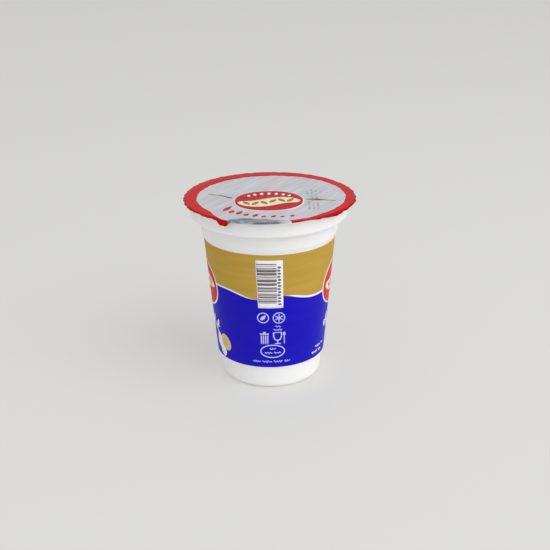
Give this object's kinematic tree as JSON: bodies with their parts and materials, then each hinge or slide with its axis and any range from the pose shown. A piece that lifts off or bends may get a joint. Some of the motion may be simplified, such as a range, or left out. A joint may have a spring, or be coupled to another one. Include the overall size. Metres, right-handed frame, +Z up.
{
  "type": "sealed drink cup",
  "caption": "Tapered single-serve plastic cup of a cold yoghurt drink, shut by a heat-sealed foil lid with a drooping edge and a turned-down pull tab.",
  "frame": {"origin": "centre of the foot, at the surface the cup stands on", "axes": "+Z up along the cup's axis, -Y towards the side with the code panel, +X to the right seen from that side"},
  "size_m": [0.0778, 0.0778, 0.0859],
  "materials": {
    "cup": "moulded white polypropylene, printed with a gold field over a deep blue field",
    "lid": "lacquered aluminium foil with a printed red rim"
  },
  "bodies": {
    "root": {"cup": "cup", "lid": "lid"}
  },
  "joints": []
}
